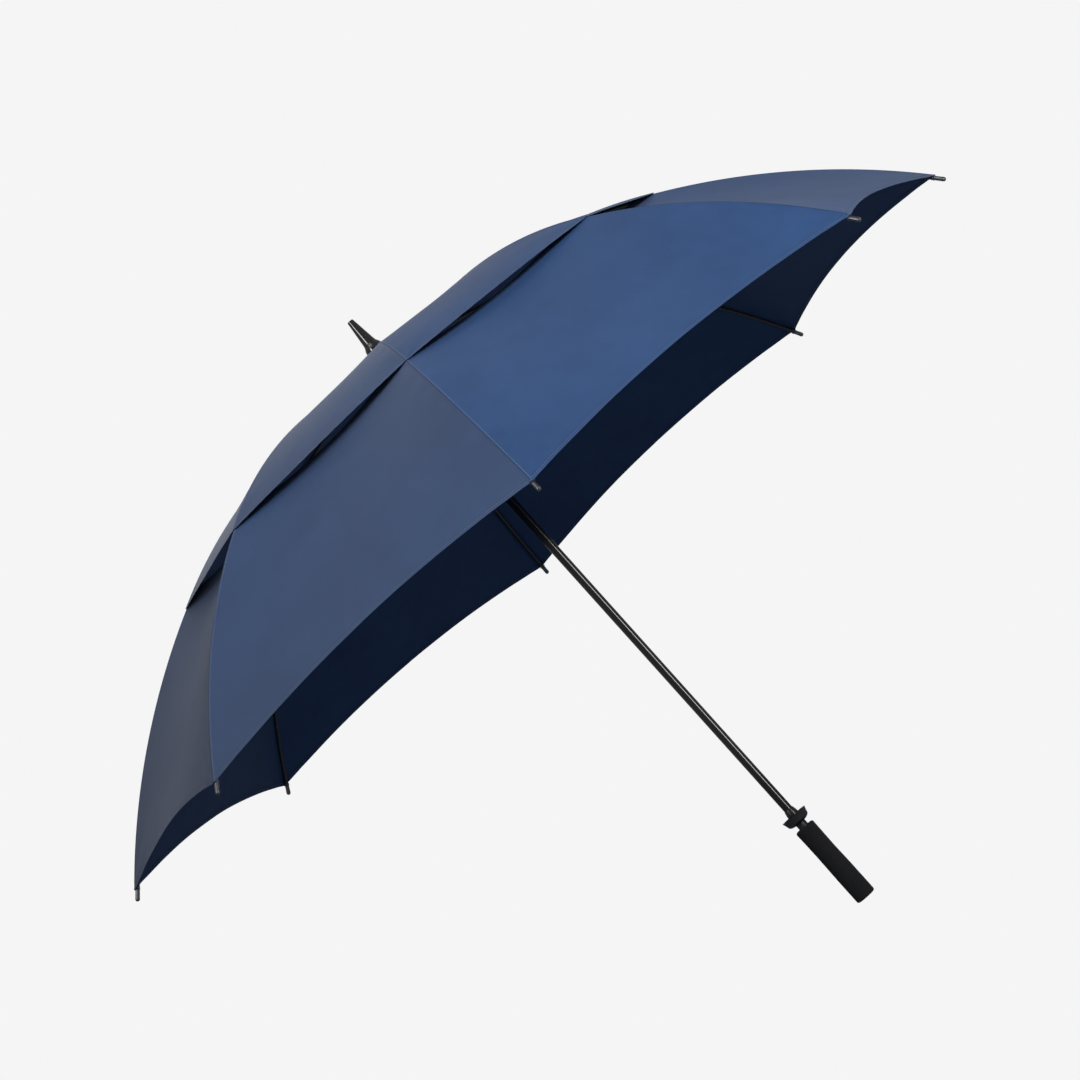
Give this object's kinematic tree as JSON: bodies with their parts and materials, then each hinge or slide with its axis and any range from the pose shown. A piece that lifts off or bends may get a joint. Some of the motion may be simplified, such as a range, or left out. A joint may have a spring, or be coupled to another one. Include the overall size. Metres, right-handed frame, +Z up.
{
  "type": "golf umbrella",
  "caption": "Open golf umbrella with a double vented canopy on sprung ribs, stretchers and a sliding runner with a latch, a slim shaft, a foam grip and a tip cup.",
  "frame": {"origin": "centre of the grip, on the shaft's axis", "axes": "+Z up the shaft towards the ferrule, +X along the first rib"},
  "size_m": [1.3848, 1.3848, 0.985],
  "materials": {
    "cloth": "matte",
    "shaft_black": "gloss",
    "fibreglass": "satin",
    "stretcher_black": "satin",
    "hub_black": "satin",
    "foam": "matte",
    "steel": "satin",
    "bush_white": "satin"
  },
  "bodies": {
    "shaft": {"shaft_tube": "shaft_black", "ferrule": "shaft_black", "crown_washer": "hub_black", "crown_notch": "hub_black", "crown_wire": "steel", "crown_pin": "steel", "top_catch": "steel", "catch_pin": "steel", "tip_cup": "hub_black", "cup_collar": "hub_black", "grip_core": "hub_black", "grip": "foam", "end_plug": "hub_black"},
    "rib_1": {"inner_rib_1": "fibreglass", "vent_canopy_1": "cloth"},
    "rib_end_1": {"outer_rib_1": "fibreglass", "main_canopy_1": "cloth"},
    "stretcher_1": {"stretcher_1": "stretcher_black"},
    "rib_2": {"inner_rib_2": "fibreglass", "vent_canopy_2": "cloth"},
    "rib_end_2": {"outer_rib_2": "fibreglass", "main_canopy_2": "cloth"},
    "stretcher_2": {"stretcher_2": "stretcher_black"},
    "rib_3": {"inner_rib_3": "fibreglass", "vent_canopy_3": "cloth"},
    "rib_end_3": {"outer_rib_3": "fibreglass", "main_canopy_3": "cloth"},
    "stretcher_3": {"stretcher_3": "stretcher_black"},
    "rib_4": {"inner_rib_4": "fibreglass", "vent_canopy_4": "cloth"},
    "rib_end_4": {"outer_rib_4": "fibreglass", "main_canopy_4": "cloth"},
    "stretcher_4": {"stretcher_4": "stretcher_black"},
    "rib_5": {"inner_rib_5": "fibreglass", "vent_canopy_5": "cloth"},
    "rib_end_5": {"outer_rib_5": "fibreglass", "main_canopy_5": "cloth"},
    "stretcher_5": {"stretcher_5": "stretcher_black"},
    "rib_6": {"inner_rib_6": "fibreglass", "vent_canopy_6": "cloth"},
    "rib_end_6": {"outer_rib_6": "fibreglass", "main_canopy_6": "cloth"},
    "stretcher_6": {"stretcher_6": "stretcher_black"},
    "rib_7": {"inner_rib_7": "fibreglass", "vent_canopy_7": "cloth"},
    "rib_end_7": {"outer_rib_7": "fibreglass", "main_canopy_7": "cloth"},
    "stretcher_7": {"stretcher_7": "stretcher_black"},
    "rib_8": {"inner_rib_8": "fibreglass", "vent_canopy_8": "cloth"},
    "rib_end_8": {"outer_rib_8": "fibreglass", "main_canopy_8": "cloth"},
    "stretcher_8": {"stretcher_8": "stretcher_black"},
    "runner": {"runner": "hub_black", "runner_wire": "steel", "runner_bush": "bush_white"},
    "latch": {"latch_button": "steel", "latch_spring": "steel"}
  },
  "joints": [
    {"name": "canopy_fold", "type": "hinge", "parent": "shaft", "child": "rib_1", "pos_m": [0.011, 0, 0.851], "axis": [0, 1, 0], "range_deg": [0, 77], "deforming": ["vent_canopy_1", "main_canopy_1"]},
    {"name": "rib_flex_1", "type": "hinge", "parent": "rib_1", "child": "rib_end_1", "pos_m": [0.37302, 0, 0.79737], "axis": [0, 1, 0], "range_deg": [-25, 0]},
    {"name": "stretcher_swing_1", "type": "hinge", "parent": "rib_1", "child": "stretcher_1", "pos_m": [0.37002, 0, 0.79104], "axis": [0, 1, 0], "range_deg": [-154, 0]},
    {"name": "rib_fold_2", "type": "hinge", "parent": "shaft", "child": "rib_2", "pos_m": [0.00778, 0.00778, 0.851], "axis": [-0.7071, 0.7071, 0], "range_deg": [0, 77], "deforming": ["vent_canopy_2", "main_canopy_2"]},
    {"name": "rib_flex_2", "type": "hinge", "parent": "rib_2", "child": "rib_end_2", "pos_m": [0.26377, 0.26377, 0.79737], "axis": [-0.7071, 0.7071, 0], "range_deg": [-25, 0]},
    {"name": "stretcher_swing_2", "type": "hinge", "parent": "rib_2", "child": "stretcher_2", "pos_m": [0.26164, 0.26164, 0.79104], "axis": [-0.7071, 0.7071, 0], "range_deg": [-154, 0]},
    {"name": "rib_fold_3", "type": "hinge", "parent": "shaft", "child": "rib_3", "pos_m": [0, 0.011, 0.851], "axis": [-1, 0, 0], "range_deg": [0, 77], "deforming": ["vent_canopy_3", "main_canopy_3"]},
    {"name": "rib_flex_3", "type": "hinge", "parent": "rib_3", "child": "rib_end_3", "pos_m": [0, 0.37302, 0.79737], "axis": [-1, 0, 0], "range_deg": [-25, 0]},
    {"name": "stretcher_swing_3", "type": "hinge", "parent": "rib_3", "child": "stretcher_3", "pos_m": [0, 0.37002, 0.79104], "axis": [-1, 0, 0], "range_deg": [-154, 0]},
    {"name": "rib_fold_4", "type": "hinge", "parent": "shaft", "child": "rib_4", "pos_m": [-0.00778, 0.00778, 0.851], "axis": [-0.7071, -0.7071, 0], "range_deg": [0, 77], "deforming": ["vent_canopy_4", "main_canopy_4"]},
    {"name": "rib_flex_4", "type": "hinge", "parent": "rib_4", "child": "rib_end_4", "pos_m": [-0.26377, 0.26377, 0.79737], "axis": [-0.7071, -0.7071, 0], "range_deg": [-25, 0]},
    {"name": "stretcher_swing_4", "type": "hinge", "parent": "rib_4", "child": "stretcher_4", "pos_m": [-0.26164, 0.26164, 0.79104], "axis": [-0.7071, -0.7071, 0], "range_deg": [-154, 0]},
    {"name": "rib_fold_5", "type": "hinge", "parent": "shaft", "child": "rib_5", "pos_m": [-0.011, 0, 0.851], "axis": [0, -1, 0], "range_deg": [0, 77], "deforming": ["vent_canopy_5", "main_canopy_5"]},
    {"name": "rib_flex_5", "type": "hinge", "parent": "rib_5", "child": "rib_end_5", "pos_m": [-0.37302, 0, 0.79737], "axis": [0, -1, 0], "range_deg": [-25, 0]},
    {"name": "stretcher_swing_5", "type": "hinge", "parent": "rib_5", "child": "stretcher_5", "pos_m": [-0.37002, 0, 0.79104], "axis": [0, -1, 0], "range_deg": [-154, 0]},
    {"name": "rib_fold_6", "type": "hinge", "parent": "shaft", "child": "rib_6", "pos_m": [-0.00778, -0.00778, 0.851], "axis": [0.7071, -0.7071, 0], "range_deg": [0, 77], "deforming": ["vent_canopy_6", "main_canopy_6"]},
    {"name": "rib_flex_6", "type": "hinge", "parent": "rib_6", "child": "rib_end_6", "pos_m": [-0.26377, -0.26377, 0.79737], "axis": [0.7071, -0.7071, 0], "range_deg": [-25, 0]},
    {"name": "stretcher_swing_6", "type": "hinge", "parent": "rib_6", "child": "stretcher_6", "pos_m": [-0.26164, -0.26164, 0.79104], "axis": [0.7071, -0.7071, 0], "range_deg": [-154, 0]},
    {"name": "rib_fold_7", "type": "hinge", "parent": "shaft", "child": "rib_7", "pos_m": [0, -0.011, 0.851], "axis": [1, 0, 0], "range_deg": [0, 77], "deforming": ["vent_canopy_7", "main_canopy_7"]},
    {"name": "rib_flex_7", "type": "hinge", "parent": "rib_7", "child": "rib_end_7", "pos_m": [0, -0.37302, 0.79737], "axis": [1, 0, 0], "range_deg": [-25, 0]},
    {"name": "stretcher_swing_7", "type": "hinge", "parent": "rib_7", "child": "stretcher_7", "pos_m": [0, -0.37002, 0.79104], "axis": [1, 0, 0], "range_deg": [-154, 0]},
    {"name": "rib_fold_8", "type": "hinge", "parent": "shaft", "child": "rib_8", "pos_m": [0.00778, -0.00778, 0.851], "axis": [0.7071, 0.7071, 0], "range_deg": [0, 77], "deforming": ["vent_canopy_8", "main_canopy_8"]},
    {"name": "rib_flex_8", "type": "hinge", "parent": "rib_8", "child": "rib_end_8", "pos_m": [0.26377, -0.26377, 0.79737], "axis": [0.7071, 0.7071, 0], "range_deg": [-25, 0]},
    {"name": "stretcher_swing_8", "type": "hinge", "parent": "rib_8", "child": "stretcher_8", "pos_m": [0.26164, -0.26164, 0.79104], "axis": [0.7071, 0.7071, 0], "range_deg": [-154, 0]},
    {"name": "runner_swing", "type": "hinge", "parent": "stretcher_1", "child": "runner", "pos_m": [0.011, 0, 0.73109], "axis": [0, 1, 0], "range_deg": [0, 77]},
    {"name": "latch_press", "type": "slide", "parent": "runner", "child": "latch", "axis": [-0.9239, -0.3827, 0], "range_m": [0, 0.0015], "stiffness_N_per_m": 1500, "deforming": ["latch_spring"]}
  ],
  "couplings": [
    {"joint": "rib_flex_1", "follows": "canopy_fold", "ratio": -0.32467},
    {"joint": "stretcher_swing_1", "follows": "canopy_fold", "ratio": -2},
    {"joint": "rib_fold_2", "follows": "canopy_fold", "ratio": 1},
    {"joint": "rib_flex_2", "follows": "canopy_fold", "ratio": -0.32467},
    {"joint": "stretcher_swing_2", "follows": "canopy_fold", "ratio": -2},
    {"joint": "rib_fold_3", "follows": "canopy_fold", "ratio": 1},
    {"joint": "rib_flex_3", "follows": "canopy_fold", "ratio": -0.32467},
    {"joint": "stretcher_swing_3", "follows": "canopy_fold", "ratio": -2},
    {"joint": "rib_fold_4", "follows": "canopy_fold", "ratio": 1},
    {"joint": "rib_flex_4", "follows": "canopy_fold", "ratio": -0.32467},
    {"joint": "stretcher_swing_4", "follows": "canopy_fold", "ratio": -2},
    {"joint": "rib_fold_5", "follows": "canopy_fold", "ratio": 1},
    {"joint": "rib_flex_5", "follows": "canopy_fold", "ratio": -0.32467},
    {"joint": "stretcher_swing_5", "follows": "canopy_fold", "ratio": -2},
    {"joint": "rib_fold_6", "follows": "canopy_fold", "ratio": 1},
    {"joint": "rib_flex_6", "follows": "canopy_fold", "ratio": -0.32467},
    {"joint": "stretcher_swing_6", "follows": "canopy_fold", "ratio": -2},
    {"joint": "rib_fold_7", "follows": "canopy_fold", "ratio": 1},
    {"joint": "rib_flex_7", "follows": "canopy_fold", "ratio": -0.32467},
    {"joint": "stretcher_swing_7", "follows": "canopy_fold", "ratio": -2},
    {"joint": "rib_fold_8", "follows": "canopy_fold", "ratio": 1},
    {"joint": "rib_flex_8", "follows": "canopy_fold", "ratio": -0.32467},
    {"joint": "stretcher_swing_8", "follows": "canopy_fold", "ratio": -2},
    {"joint": "runner_swing", "follows": "canopy_fold", "ratio": 1}
  ]
}
